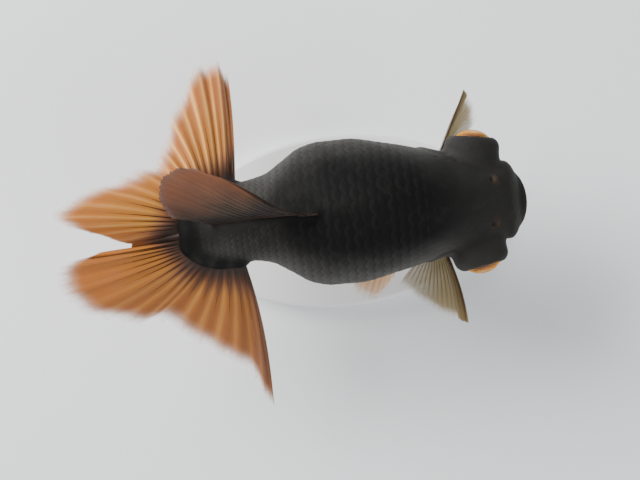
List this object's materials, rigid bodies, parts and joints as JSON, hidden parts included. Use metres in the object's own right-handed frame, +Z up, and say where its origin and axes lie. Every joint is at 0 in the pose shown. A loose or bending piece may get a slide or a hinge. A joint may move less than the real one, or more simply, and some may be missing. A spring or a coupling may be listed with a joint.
{
  "type": "telescope goldfish model",
  "caption": "Life-size display model of a black telescope goldfish with an orange butterfly tail, held over an oval base by upright rods.",
  "frame": {"origin": "centre of the oval base's underside, where the stand meets the table", "axes": "+X forward along the line from the tail's notch to the snout, +Y to the fish's left, +Z up"},
  "size_m": [0.1162, 0.0911, 0.0836],
  "materials": {
    "black_skin": "satin, scaled, charcoal black",
    "lip_skin": "satin",
    "eye": "wet gloss, orange and gold iris round a black pupil",
    "orange_fin": "satin, thin, darker rays, clear at the margin",
    "dusky_fin": "satin, thin, translucent",
    "olive_fin": "satin, thin, translucent",
    "white_stand": "satin",
    "steel": "brushed"
  },
  "bodies": {
    "root": {"head": "black_skin", "trunk": "black_skin", "caudal_peduncle": "black_skin", "upper_lip": "lip_skin", "lower_lip": "lip_skin", "nostril_left": "lip_skin", "nostril_right": "lip_skin", "eye_turret_left": "black_skin", "eye_turret_right": "black_skin", "eye_left": "eye", "eye_right": "eye", "gill_cover_left": "black_skin", "gill_cover_right": "black_skin", "dorsal_fin": "dusky_fin", "tail_upper_lobe_left": "orange_fin", "tail_lower_lobe_left": "orange_fin", "tail_upper_lobe_right": "orange_fin", "tail_lower_lobe_right": "orange_fin", "pectoral_fin_left": "olive_fin", "pectoral_fin_right": "olive_fin", "pelvic_fin_left": "olive_fin", "pelvic_fin_right": "olive_fin", "anal_fin_left": "orange_fin", "anal_fin_right": "orange_fin", "stand_base": "white_stand", "stand_rod_front": "steel", "stand_rod_rear": "steel", "stand_collar_front": "steel", "stand_collar_rear": "steel"}
  },
  "joints": []
}
